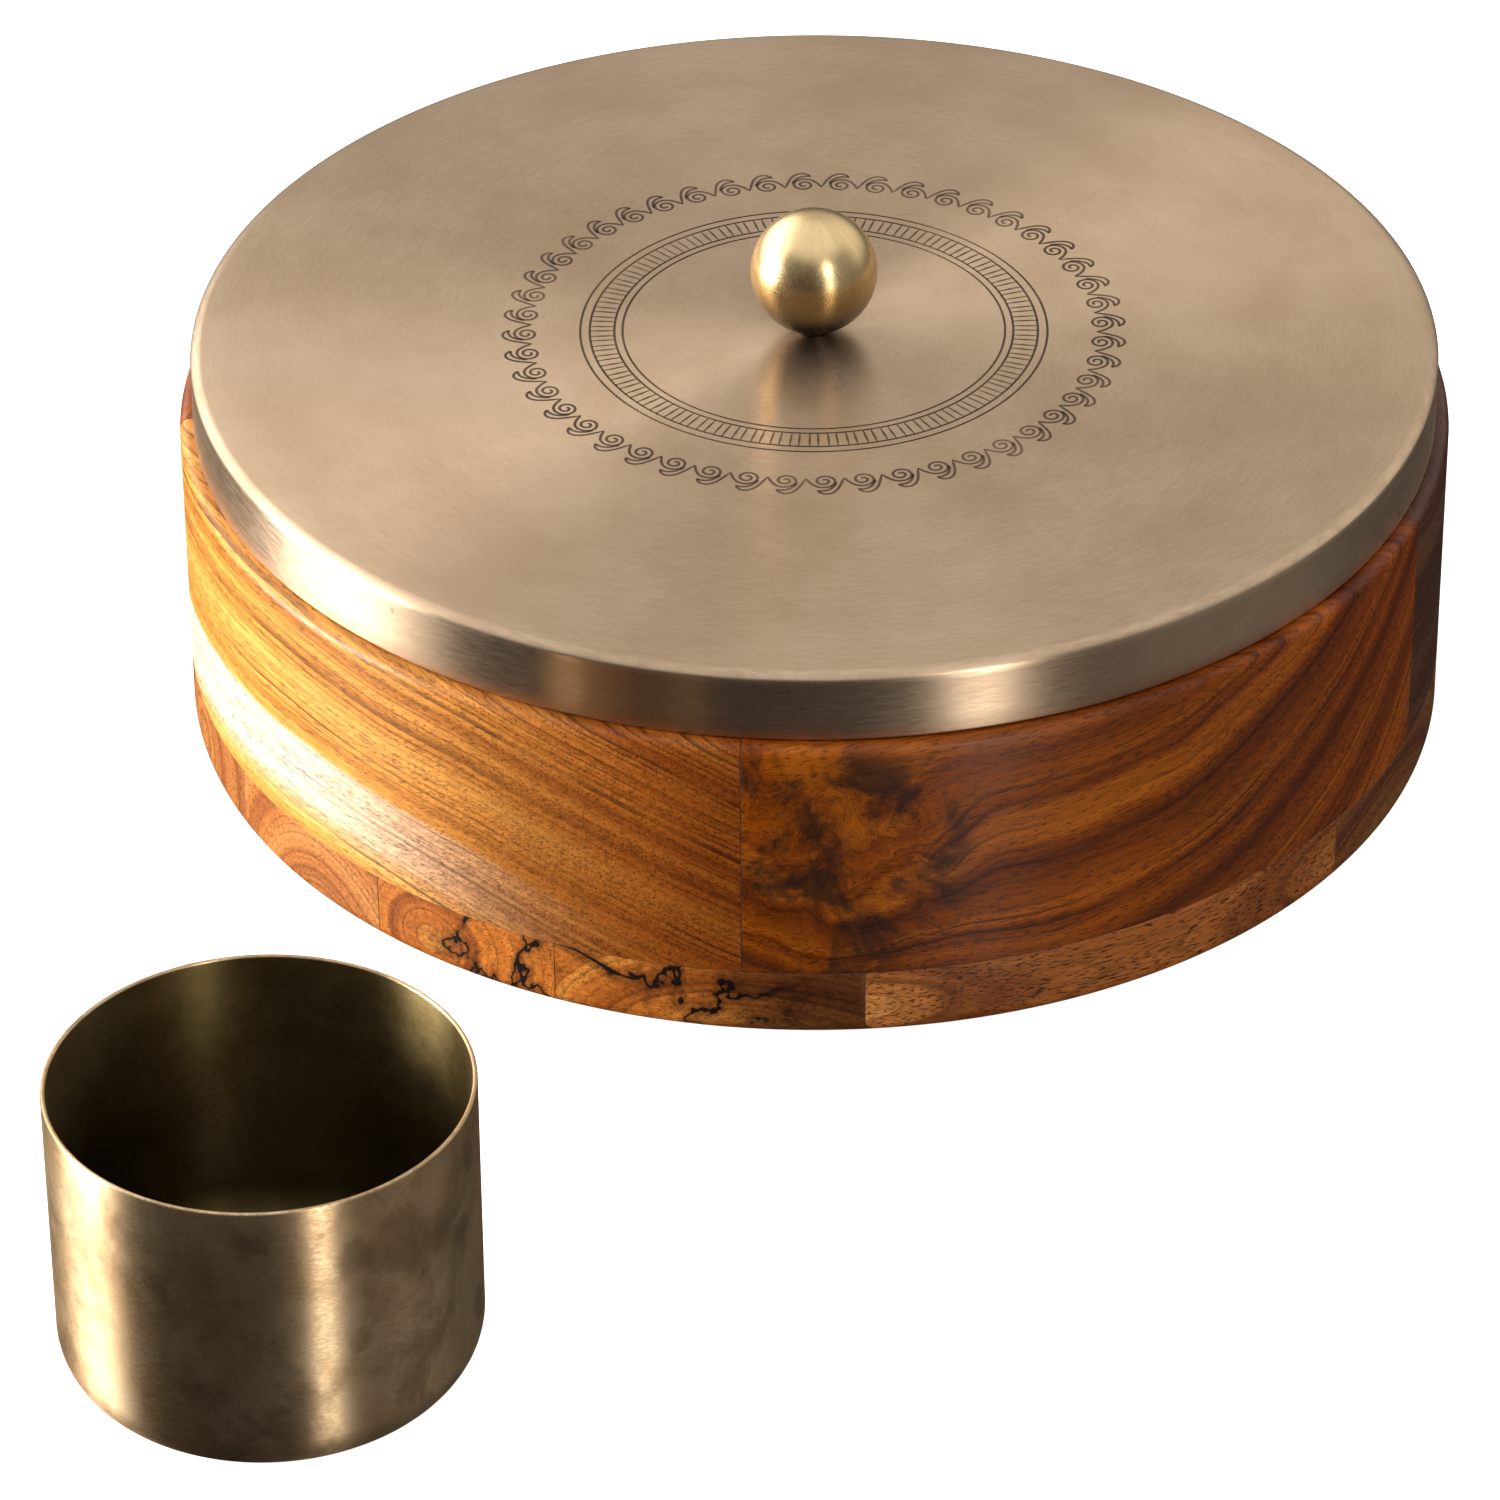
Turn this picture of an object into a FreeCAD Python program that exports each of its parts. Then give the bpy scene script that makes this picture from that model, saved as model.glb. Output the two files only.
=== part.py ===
import FreeCAD, Part
import math
import os

# Round spice box: a turned wooden base, a spun brass lid with a ball knob, and seven brass cups.
# Millimetres. Origin at the centre of the base's underside, +Z up, the front of the box towards -Y.
# A bearing is an angle in degrees in plan, from the front, positive towards +X.

# ---- driving dimensions ----
base_radius = 120.6            # outside of the wood
floor_thickness = 14.0         # glued-up panel under the ring of wall segments
underside_edge_round = 3.2
ledge_height = 63.0            # top of the visible wood, where the lid's skirt comes down
ledge_edge_round = 0.9
lip_height = 73.0              # rim inside the skirt that keeps the lid in place
lip_radius = 116.3
lip_edge_chamfer = 0.8
cavity_radius = 111.0

# glue joints of the wall ring, and of the floor panel's strips
wall_joint_bearings = [-86.0, -6.3, 68.3, 136.9, 205.4]
strip_normal_bearing = 29.0    # the strips run square to this bearing
strip_joint_offsets = [-80.0, -42.0, -4.0, 39.5, 74.0, 109.6]

lid_radius = 118.0
lid_sheet = 1.2
lid_height = 14.5              # from the skirt's edge to the middle of the top
lid_flat_radius = 62.0         # the top is flat inside this, and crowned outside it
lid_crown = 0.7                # how far the crown falls towards the edge
lid_edge_width = 2.2           # the edge rolls over between the crown and a crisp corner
lid_edge_drop = 1.2
lid_edge_swell = 0.26          # how far the rolled edge stands out from a straight bevel
lid_seat_gap = 0.2             # between the skirt's edge and the ledge

knob_radius = 12.0
knob_centre_above_lid = 12.6
knob_collar_height = 1.1       # the ball is cut flat where it sits on its collar
knob_collar_radius = 3.4
knob_washer_radius = 5.5
knob_washer_thickness = 0.8
screw_radius = 1.95
screw_head_radius = 3.8
screw_head_height = 2.0
screw_depth_in_knob = 9.0
tapped_hole_radius = 2.0
clearance_hole_radius = 2.2

cup_radius = 36.7
cup_height = 57.4
cup_sheet = 0.9
cup_corner_round = 9.5         # outside, between the wall and the foot
cup_foot_radius = 22.5         # inside of the flat ring that the cup stands on
cup_dish_rise = 1.0            # the middle of the bottom is pressed up by this much
cup_dish_slope = 2.0
cup_gap = 0.4                  # between neighbouring cups in the box
cup_seat_gap = 0.1             # between a cup's foot and the box's floor

ring_cup_count = 6
first_ring_bearing = -30.0     # this seat is empty: its cup stands outside
outside_cup_place = (-93.2, -210.8)

# ---- worked out from the above ----
lid_foot = ledge_height + lid_seat_gap
lid_top = lid_foot + lid_height
ring_pitch_radius = 2.0 * cup_radius + cup_gap
cup_floor_height = floor_thickness + cup_seat_gap

AXIS_POINT = FreeCAD.Vector(0, 0, 0)
UP = FreeCAD.Vector(0, 0, 1)


def in_plan(radius, bearing, height=0.0):
    """Point at a bearing from the front, in plan."""
    angle = math.radians(bearing)
    return FreeCAD.Vector(radius * math.sin(angle), -radius * math.cos(angle), height)


def on_circle(centre, radius, degrees):
    """Point (r, z) on a circle in the profile plane, from the outward direction upwards."""
    angle = math.radians(degrees)
    return (centre[0] + radius * math.cos(angle), centre[1] + radius * math.sin(angle))


def turned(outline, start_bearing=0.0, sweep=360.0):
    """Solid turned from an outline of (r, z) points. An entry holding two points is an arc."""
    def vec(point):
        return FreeCAD.Vector(0, -point[0], point[1])

    here = outline[0]
    edges = []
    for entry in outline[1:] + [outline[0]]:
        if isinstance(entry[0], tuple):
            middle, end = entry
            edges.append(Part.Arc(vec(here), vec(middle), vec(end)).toShape())
        else:
            end = entry
            edges.append(Part.LineSegment(vec(here), vec(end)).toShape())
        here = end
    solid = Part.Face(Part.Wire(edges)).revolve(AXIS_POINT, UP, sweep)
    solid.rotate(AXIS_POINT, UP, start_bearing)
    return solid


def arc(centre, radius, start, end):
    """Outline entry for an arc between two angles."""
    return (on_circle(centre, radius, (start + end) / 2.0), on_circle(centre, radius, end))


# ---- wooden base ----
def wall_segment(start, end):
    """One glued segment of the upright wall, with the ledge and the lip turned into its top."""
    ledge_centre = (base_radius - ledge_edge_round, ledge_height - ledge_edge_round)
    outline = [
        (cavity_radius, floor_thickness),
        (base_radius, floor_thickness),
        (base_radius, ledge_height - ledge_edge_round),
        arc(ledge_centre, ledge_edge_round, 0, 90),
        (lip_radius, ledge_height),
        (lip_radius, lip_height - lip_edge_chamfer),
        (lip_radius - lip_edge_chamfer, lip_height),
        (cavity_radius + lip_edge_chamfer, lip_height),
        (cavity_radius, lip_height - lip_edge_chamfer),
    ]
    return turned(outline, start, end - start)


def floor_panel():
    """The whole round floor panel, before it is parted into strips."""
    edge_centre = (base_radius - underside_edge_round, underside_edge_round)
    outline = [
        (0.0, 0.0),
        (base_radius - underside_edge_round, 0.0),
        arc(edge_centre, underside_edge_round, -90, 0),
        (base_radius, floor_thickness),
        (0.0, floor_thickness),
    ]
    return turned(outline)


def floor_strips():
    """The strips of the floor panel, from the back left to the front right."""
    panel = floor_panel()
    reach = base_radius + 1.0
    offsets = [-reach] + strip_joint_offsets + [reach]
    strips = []
    for low, high in zip(offsets, offsets[1:]):
        slab = Part.makeBox(2.0 * reach, high - low, floor_thickness, FreeCAD.Vector(-reach, -high, 0))
        slab.rotate(AXIS_POINT, UP, strip_normal_bearing)
        strips.append(panel.common(slab))
    return strips


# ---- lid ----
def lid_side(radius, top):
    """Outline entries of the lid's top and edge from the middle out, for one face of the sheet."""
    crown_edge = (radius - lid_edge_width, top - lid_crown)
    corner = (radius, crown_edge[1] - lid_edge_drop)
    crown_middle = ((lid_flat_radius + crown_edge[0]) / 2.0, top - lid_crown / 4.0)
    lean = math.atan2(lid_edge_drop, lid_edge_width)
    swell = ((crown_edge[0] + corner[0]) / 2.0 + lid_edge_swell * math.sin(lean),
             (crown_edge[1] + corner[1]) / 2.0 + lid_edge_swell * math.cos(lean))
    return (lid_flat_radius, top), crown_middle, crown_edge, swell, corner


def lid_shell():
    """Spun lid: a slightly crowned top, a rolled edge and a straight skirt, with the screw hole."""
    flat, crown_middle, crown_edge, swell, corner = lid_side(lid_radius, lid_top)
    under = lid_side(lid_radius - lid_sheet, lid_top - lid_sheet)
    outline = [
        (clearance_hole_radius, lid_top),
        (clearance_hole_radius, lid_top - lid_sheet),
        under[0],
        (under[1], under[2]),
        (under[3], under[4]),
        (lid_radius - lid_sheet, lid_foot),
        (lid_radius, lid_foot),
        corner,
        (swell, crown_edge),
        (crown_middle, flat),
    ]
    return turned(outline)


def knob_ball():
    """Ball knob, flat where it sits on its collar, with a tapped blind hole from below."""
    centre = FreeCAD.Vector(0, 0, lid_top + knob_centre_above_lid)
    seat = lid_top + knob_collar_height
    ball = Part.makeSphere(knob_radius, centre)
    below = Part.makeCylinder(knob_radius, knob_radius, FreeCAD.Vector(0, 0, seat - knob_radius))
    hole = Part.makeCylinder(tapped_hole_radius, screw_depth_in_knob + 1.0, FreeCAD.Vector(0, 0, seat))
    return ball.cut(below).cut(hole)


def ring(outer, inner, foot, height):
    """Flat ring, such as a washer."""
    return turned([(inner, foot), (outer, foot), (outer, foot + height), (inner, foot + height)])


def knob_screw():
    """Pan head screw, driven up through the washer, the lid and the collar into the ball."""
    head_top = lid_top - lid_sheet - knob_washer_thickness
    head_foot = head_top - screw_head_height
    tip = lid_top + knob_collar_height + screw_depth_in_knob
    head_round = screw_head_height * 0.6
    head_centre = (screw_head_radius - head_round, head_foot + head_round)
    slot_width = 0.9
    slot_depth = 0.9
    outline = [
        (0.0, head_foot),
        (screw_head_radius - head_round, head_foot),
        arc(head_centre, head_round, -90, 0),
        (screw_head_radius, head_top),
        (screw_radius, head_top),
        (screw_radius, tip - 0.6),
        (screw_radius - 0.6, tip),
        (0.0, tip),
    ]
    slot = Part.makeBox(4.0 * screw_head_radius, slot_width, slot_depth,
                        FreeCAD.Vector(-2.0 * screw_head_radius, -slot_width / 2.0, head_foot))
    return turned(outline).cut(slot)


# ---- cups ----
def cup(place):
    """Straight-sided cup with a rounded foot, a pressed-up bottom and a rounded rim."""
    wall_inside = cup_radius - cup_sheet
    corner_centre = (cup_radius - cup_corner_round, cup_corner_round)
    rim_round = cup_sheet / 2.0
    rim_centre = (cup_radius - rim_round, cup_height - rim_round)
    dish_edge = cup_foot_radius - cup_dish_slope
    outline = [
        (0.0, cup_dish_rise),
        (dish_edge, cup_dish_rise),
        (cup_foot_radius, 0.0),
        (cup_radius - cup_corner_round, 0.0),
        arc(corner_centre, cup_corner_round, -90, 0),
        (cup_radius, cup_height - rim_round),
        arc(rim_centre, rim_round, 0, 180),
        (wall_inside, cup_corner_round),
        arc(corner_centre, cup_corner_round - cup_sheet, 0, -90),
        (cup_foot_radius + cup_sheet / 2.0, cup_sheet),
        (dish_edge + cup_sheet / 2.0, cup_dish_rise + cup_sheet),
        (0.0, cup_dish_rise + cup_sheet),
    ]
    solid = turned(outline)
    solid.translate(place)
    return solid


def ring_seat(number):
    """Place of a cup in the ring inside the box, numbered from the empty seat."""
    bearing = first_ring_bearing + number * 360.0 / ring_cup_count
    return in_plan(ring_pitch_radius, bearing, cup_floor_height)


# ---- all the pieces, by node name ----
def pieces():
    made = {}
    ends = wall_joint_bearings[1:] + [wall_joint_bearings[0] + 360.0]
    for number, (start, end) in enumerate(zip(wall_joint_bearings, ends), 1):
        made["wall_segment_%d" % number] = wall_segment(start, end)
    for number, strip in enumerate(floor_strips(), 1):
        made["floor_strip_%d" % number] = strip
    made["lid_shell"] = lid_shell()
    made["knob_ball"] = knob_ball()
    made["knob_collar"] = ring(knob_collar_radius, clearance_hole_radius, lid_top, knob_collar_height)
    washer_foot = lid_top - lid_sheet - knob_washer_thickness
    made["knob_washer"] = ring(knob_washer_radius, clearance_hole_radius, washer_foot, knob_washer_thickness)
    made["knob_screw"] = knob_screw()
    made["cup_centre"] = cup(FreeCAD.Vector(0, 0, cup_floor_height))
    for number in range(1, ring_cup_count):
        made["cup_ring_%d" % number] = cup(ring_seat(number))
    made["cup_outside"] = cup(FreeCAD.Vector(outside_cup_place[0], outside_cup_place[1], 0))
    return made


os.makedirs("parts", exist_ok=True)
for name, shape in pieces().items():
    solids = len(shape.Solids)
    print("%-16s valid %s  solids %d  volume %.0f mm3" % (name, shape.isValid(), solids, shape.Volume))
    shape.exportStep("parts/%s.step" % name)
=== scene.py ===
import math

import bmesh
import bpy
from mathutils import Matrix, Vector


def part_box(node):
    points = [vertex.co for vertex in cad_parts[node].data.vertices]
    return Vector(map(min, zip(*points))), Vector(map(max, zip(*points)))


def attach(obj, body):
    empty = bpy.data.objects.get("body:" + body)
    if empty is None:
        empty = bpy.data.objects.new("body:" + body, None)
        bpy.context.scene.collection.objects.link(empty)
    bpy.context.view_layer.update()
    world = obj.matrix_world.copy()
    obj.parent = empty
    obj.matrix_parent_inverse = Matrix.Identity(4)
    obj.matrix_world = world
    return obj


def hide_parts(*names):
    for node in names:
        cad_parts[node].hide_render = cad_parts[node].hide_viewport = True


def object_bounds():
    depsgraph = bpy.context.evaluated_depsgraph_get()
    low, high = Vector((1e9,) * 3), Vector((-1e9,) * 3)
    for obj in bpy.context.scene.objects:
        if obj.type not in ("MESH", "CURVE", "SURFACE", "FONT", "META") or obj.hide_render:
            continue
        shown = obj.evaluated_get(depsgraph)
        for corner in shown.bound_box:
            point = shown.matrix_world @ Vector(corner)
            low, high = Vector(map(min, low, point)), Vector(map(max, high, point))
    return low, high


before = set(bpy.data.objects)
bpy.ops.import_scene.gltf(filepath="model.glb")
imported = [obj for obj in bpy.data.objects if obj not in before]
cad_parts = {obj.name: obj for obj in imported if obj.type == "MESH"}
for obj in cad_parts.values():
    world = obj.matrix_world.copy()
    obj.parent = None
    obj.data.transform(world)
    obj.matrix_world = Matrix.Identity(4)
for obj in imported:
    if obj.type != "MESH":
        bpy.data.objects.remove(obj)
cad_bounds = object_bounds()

# Looks of the round spice box. Metres, Z up, the front of the box towards -Y.
# A bearing is an angle in degrees in plan, from the front, positive towards +X.
MM = 0.001

# ---- sizes from the frame ----
lid_low, lid_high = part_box("lid_shell")
ball_low, ball_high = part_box("knob_ball")
cup_low, cup_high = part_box("cup_outside")
lid_radius = lid_high.x
lid_top = lid_high.z
lid_foot = lid_low.z
ball_radius = (ball_high.x - ball_low.x) / 2.0
base_radius = cad_bounds[1].y
glue_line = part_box("floor_strip_4")[1].z    # height of the joint between the floor panel and the wall
lip_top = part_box("wall_segment_1")[1].z
cup_radius = (cup_high.x - cup_low.x) / 2.0
cup_height = cup_high.z - cup_low.z

# ---- sizes that repeat the design's ----
lid_sheet = 1.2 * MM
lid_flat_radius = 62.0 * MM
lid_crown = 0.7 * MM
lid_edge_width = 2.2 * MM
lid_edge_drop = 1.2 * MM
lid_edge_swell = 0.26 * MM
knob_hole_radius = 2.2 * MM
ledge_height = 63.0 * MM
lip_radius = 116.3 * MM
cavity_radius = 111.0 * MM
underside_edge_round = 3.2 * MM
wall_joints = [-86.0, -6.3, 68.3, 136.9, 205.4]
strip_normal = 29.0
strip_joints = [-80.0 * MM, -42.0 * MM, -4.0 * MM, 39.5 * MM, 74.0 * MM, 109.6 * MM]
knob_collar_height = 1.1 * MM
tapped_hole_radius = 2.0 * MM
tapped_hole_depth = 9.5 * MM
cup_sheet = 0.9 * MM
cup_corner_round = 9.5 * MM
cup_foot_radius = 22.5 * MM
cup_dish_rise = 1.0 * MM
cup_dish_slope = 2.0 * MM

# ---- eased edges, softer than the design's ----
lid_corner_ease = 0.15 * MM
ledge_edge_round = 2.0 * MM
lip_edge_round = 0.8 * MM
seam_ease = 0.12 * MM            # at the joint between the floor panel and the wall
wall_joint_ease = 0.10 * MM
wall_step = 0.75                 # degrees that one face of the swept wall spans, about
strip_joint_ease = 0.08 * MM

# ---- engraving on the lid ----
engraved_depth = 0.12 * MM
groove_slope = 0.05 * MM
circle_line = 0.45 * MM
circle_radii = [36.2 * MM, 37.75 * MM, 42.4 * MM, 44.2 * MM]
inner_ring_radius = 20.0 * MM    # a ring of points between the engraving and the knob's hole
band_cells = 72
bar_offset = 0.225               # of a cell, from its middle to each of its two bars
bar_line = 0.62 * MM
scroll_count = 48
scroll_cusp_radius = 53.5 * MM
scroll_first_bearing = -1.6
scroll_line = 0.54 * MM
stroke_low = lid_top - 0.04 * MM
stroke_high = lid_top + 0.012 * MM


# ================= mesh helpers =================
def plan_point(radius, bearing, height=0.0):
    """The point at a radius and a bearing from the box's axis."""
    angle = math.radians(bearing)
    return Vector((radius * math.sin(angle), -radius * math.cos(angle), height))


def arc(centre, radius, start, end, steps):
    """Points (r, z) on an arc, both ends included. Angles are from the outward direction upwards."""
    points = []
    for i in range(steps + 1):
        angle = math.radians(start + (end - start) * i / steps)
        points.append((centre[0] + radius * math.cos(angle), centre[1] + radius * math.sin(angle)))
    return points


def arc_through(start, middle, end, steps):
    """Points (r, z) on the arc through three points, both ends included."""
    (x1, y1), (x2, y2), (x3, y3) = start, middle, end
    twice_area = 2.0 * (x1 * (y2 - y3) + x2 * (y3 - y1) + x3 * (y1 - y2))
    q1, q2, q3 = x1 * x1 + y1 * y1, x2 * x2 + y2 * y2, x3 * x3 + y3 * y3
    cx = (q1 * (y2 - y3) + q2 * (y3 - y1) + q3 * (y1 - y2)) / twice_area
    cy = (q1 * (x3 - x2) + q2 * (x1 - x3) + q3 * (x2 - x1)) / twice_area
    first = math.degrees(math.atan2(y1 - cy, x1 - cx))
    last = math.degrees(math.atan2(y3 - cy, x3 - cx))
    return arc((cx, cy), math.hypot(x1 - cx, y1 - cy), first, last, steps)


def add_piece(name, bm, materials, body, replaced=()):
    """Turns a bmesh into a shaded piece that rides on a body."""
    bmesh.ops.recalc_face_normals(bm, faces=bm.faces)
    mesh = bpy.data.meshes.new(name)
    bm.to_mesh(mesh)
    bm.free()
    for face in mesh.polygons:
        face.use_smooth = True
    mesh.set_sharp_from_angle(angle=math.radians(40))
    for material in materials:
        mesh.materials.append(material)
    piece = bpy.data.objects.new(name, mesh)
    bpy.context.scene.collection.objects.link(piece)
    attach(piece, body)
    if replaced:
        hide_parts(*replaced)


def lathe(outline, centre=(0.0, 0.0, 0.0), steps=256, material_of=None):
    """Turns a closed outline of (r, z) points. Points with r = 0 become one point on the axis."""
    bm = bmesh.new()
    cx, cy, cz = centre
    rings = []
    for radius, height in outline:
        if radius < 1e-7:
            rings.append([bm.verts.new((cx, cy, cz + height))])
            continue
        ring = []
        for i in range(steps):
            angle = 2.0 * math.pi * i / steps
            x = cx + radius * math.cos(angle)
            y = cy + radius * math.sin(angle)
            ring.append(bm.verts.new((x, y, cz + height)))
        rings.append(ring)
    for k, ring in enumerate(rings):
        other = rings[(k + 1) % len(rings)]
        if len(ring) == 1 and len(other) == 1:
            continue
        for i in range(steps):
            j = (i + 1) % steps
            if len(ring) == 1:
                corners = (ring[0], other[j], other[i])
            elif len(other) == 1:
                corners = (ring[i], ring[j], other[0])
            else:
                corners = (ring[i], ring[j], other[j], other[i])
            face = bm.faces.new(corners)
            if material_of:
                face.material_index = material_of(k)
    return bm


# ================= node helpers =================
class Nodes:
    """Short way to write a node tree."""

    def __init__(self, tree):
        self.tree = tree
        tree.nodes.clear()

    def add(self, kind, **values):
        node = self.tree.nodes.new(kind)
        for key, value in values.items():
            setattr(node, key, value)
        return node

    def link(self, source, socket):
        self.tree.links.new(source, socket)

    def feed(self, socket, value):
        if isinstance(value, bpy.types.NodeSocket):
            self.link(value, socket)
        else:
            socket.default_value = value

    def math(self, operation, a, b=0.0, c=0.0):
        node = self.add("ShaderNodeMath", operation=operation)
        for socket, value in zip(node.inputs, (a, b, c)):
            self.feed(socket, value)
        return node.outputs[0]

    def hypotenuse(self, a, b):
        return self.math("SQRT", self.math("ADD", self.math("MULTIPLY", a, a), self.math("MULTIPLY", b, b)))

    def vector(self, operation, a, b=(0.0, 0.0, 0.0), scale=1.0):
        node = self.add("ShaderNodeVectorMath", operation=operation)
        self.feed(node.inputs[0], a)
        self.feed(node.inputs[1], b)
        if operation == "SCALE":
            self.feed(node.inputs["Scale"], scale)
        out = "Value" if operation in ("LENGTH", "DOT_PRODUCT", "DISTANCE") else "Vector"
        return node.outputs[out]

    def combine(self, x, y, z):
        node = self.add("ShaderNodeCombineXYZ")
        for socket, value in zip(node.inputs, (x, y, z)):
            self.feed(socket, value)
        return node.outputs[0]

    def separate(self, vector):
        node = self.add("ShaderNodeSeparateXYZ")
        self.link(vector, node.inputs[0])
        return node.outputs[0], node.outputs[1], node.outputs[2]

    def noise(self, vector, scale, detail=3.0, roughness=0.5, color=False, distortion=0.0):
        node = self.add("ShaderNodeTexNoise")
        self.link(vector, node.inputs["Vector"])
        node.inputs["Scale"].default_value = scale
        node.inputs["Detail"].default_value = detail
        node.inputs["Roughness"].default_value = roughness
        node.inputs["Distortion"].default_value = distortion
        return node.outputs["Color" if color else "Fac"]

    def noise_1d(self, value, scale, detail=2.0, roughness=0.5):
        node = self.add("ShaderNodeTexNoise", noise_dimensions="1D")
        self.link(value, node.inputs["W"])
        node.inputs["Scale"].default_value = scale
        node.inputs["Detail"].default_value = detail
        node.inputs["Roughness"].default_value = roughness
        return node.outputs["Fac"]

    def ramp(self, value, *stops):
        """Colour ramp; each stop is (place, colour)."""
        node = self.add("ShaderNodeValToRGB")
        self.link(value, node.inputs[0])
        elements = node.color_ramp.elements
        while len(elements) < len(stops):
            elements.new(0.5)
        for element, (place, color) in zip(elements, stops):
            element.position = place
            element.color = (*color, 1.0) if hasattr(color, "__len__") else (color, color, color, 1.0)
        return node.outputs[0]

    def smooth(self, value, low, high, out_low=0.0, out_high=1.0):
        node = self.add("ShaderNodeMapRange", interpolation_type="SMOOTHSTEP")
        for name, number in (("Value", value), ("From Min", low), ("From Max", high),
                             ("To Min", out_low), ("To Max", out_high)):
            self.feed(node.inputs[name], number)
        return node.outputs[0]

    def mix(self, factor, a, b, blend="MIX"):
        node = self.add("ShaderNodeMix", data_type="RGBA", blend_type=blend)
        self.feed(node.inputs[0], factor)
        for socket, value in ((node.inputs[6], a), (node.inputs[7], b)):
            if isinstance(value, tuple) and len(value) == 3:
                value = (*value, 1.0)
            self.feed(socket, value)
        return node.outputs[2]

    def bump(self, height, strength, distance):
        node = self.add("ShaderNodeBump")
        node.inputs["Strength"].default_value = strength
        node.inputs["Distance"].default_value = distance
        self.link(height, node.inputs["Height"])
        return node.outputs[0]

    def centred_noise(self, vector, scale, detail, roughness, distortion=0.0):
        """A vector of noise about zero."""
        noise = self.noise(vector, scale, detail, roughness, color=True, distortion=distortion)
        return self.vector("SUBTRACT", noise, (0.5, 0.5, 0.5))


def darker(color, share):
    """A colour with its channels cut to a share."""
    return tuple(channel * share for channel in color)


def new_material(name):
    """A new material, its nodes and its Principled shader."""
    material = bpy.data.materials.new(name)
    material.use_nodes = True
    nodes = Nodes(material.node_tree)
    shader = nodes.add("ShaderNodeBsdfPrincipled")
    output = nodes.add("ShaderNodeOutputMaterial")
    nodes.link(shader.outputs[0], output.inputs["Surface"])
    return material, nodes, shader


def object_place(nodes):
    return nodes.add("ShaderNodeTexCoord").outputs["Object"]


# ================= materials =================
def brass(name, light, dark, roughness, anisotropy, centre=(0.0, 0.0, 0.0), brushing=0.3, pits=0.0,
          pits_below=1.0, blotches=0.0, painted_shade=None):
    """Antique brass, brushed round the vertical axis through a centre.

    brushing    how strongly the strokes show in the colour
    pits        strength of the small dark pits, which lie below the height pits_below
    blotches    strength of the dark stains
    painted_shade (height, height, factor): painted shade; the metal's colour is cut by a factor from the
    first height to the second
    """
    material, nodes, shader = new_material(name)
    local = nodes.vector("SUBTRACT", object_place(nodes), tuple(centre))
    x, y, z = nodes.separate(local)
    radius = nodes.hypotenuse(x, y)
    round_x = nodes.math("DIVIDE", x, radius)
    round_y = nodes.math("DIVIDE", y, radius)
    across = nodes.math("ADD", radius, z)

    def drawn_round(fineness, length):
        """Coordinates drawn out round the axis: fine across the strokes, long along them."""
        return nodes.combine(nodes.math("MULTIPLY", across, fineness),
                             nodes.math("MULTIPLY", round_x, length),
                             nodes.math("MULTIPLY", round_y, length))

    broad, medium, fine = (nodes.noise(drawn_round(fineness, length), 1.0, 2.0, 0.6)
                           for fineness, length in ((1100.0, 13.0), (2900.0, 32.0), (6500.0, 70.0)))
    mottle = nodes.noise(local, 30.0, 5.0, 0.6)
    cloud_place = drawn_round(70.0, 3.0)
    cloud = nodes.noise(cloud_place, 1.0, 4.0, 0.6)
    tone = nodes.math("ADD", nodes.math("MULTIPLY", mottle, 0.65), nodes.math("MULTIPLY", cloud, 0.35))
    color = nodes.mix(nodes.smooth(tone, 0.36, 0.64), dark, light)
    stroke = nodes.math("ADD", nodes.math("MULTIPLY", broad, 0.35), nodes.math("MULTIPLY", medium, 0.65))
    color = nodes.mix(nodes.smooth(stroke, 0.40, 0.60, 0.0, brushing), color, darker(dark, 0.62))
    rough = nodes.smooth(stroke, 0.3, 0.7, roughness - 0.04, roughness + 0.05)
    relief = nodes.math("ADD", nodes.math("MULTIPLY", medium, 0.5), nodes.math("MULTIPLY", fine, 0.5))
    # painted shade: the colour darkens by a factor between two heights
    if painted_shade:
        first, second, factor = painted_shade
        shade_ramp = nodes.ramp(nodes.smooth(z, first, second), (0.0, 1.0), (1.0, factor))
        color = nodes.mix(1.0, color, shade_ramp, blend="MULTIPLY")
    if blotches:
        stain = nodes.noise(cloud_place, 1.1, 5.0, 0.6, distortion=0.3)
        stain = nodes.math("MULTIPLY", nodes.smooth(stain, 0.45, 0.66), blotches)
        color = nodes.mix(stain, color, darker(dark, 0.42))
    if pits:
        cells = nodes.add("ShaderNodeTexVoronoi", feature="F1")
        nodes.link(local, cells.inputs["Vector"])
        cells.inputs["Scale"].default_value = 170.0
        chance = nodes.math("GREATER_THAN", nodes.noise(local, 90.0, 2.0, 0.5), 0.56)
        dot = nodes.smooth(cells.outputs["Distance"], 0.06, 0.16, 1.0, 0.0)
        dot = nodes.math("MULTIPLY", dot, chance)
        dot = nodes.math("MULTIPLY", dot, nodes.math("LESS_THAN", z, pits_below))
        color = nodes.mix(nodes.math("MULTIPLY", dot, pits), color, (0.03, 0.02, 0.012))
        rough = nodes.math("ADD", rough, nodes.math("MULTIPLY", dot, 0.05))
    nodes.link(color, shader.inputs["Base Color"])
    nodes.link(rough, shader.inputs["Roughness"])
    shader.inputs["Metallic"].default_value = 1.0
    shader.inputs["Anisotropic"].default_value = anisotropy
    shader.inputs["Anisotropic Rotation"].default_value = 0.25
    tangent = nodes.add("ShaderNodeTangent", direction_type="RADIAL", axis="Z")
    nodes.link(tangent.outputs[0], shader.inputs["Tangent"])
    nodes.link(nodes.bump(relief, 0.25, 0.00002), shader.inputs["Normal"])
    return material


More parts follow.
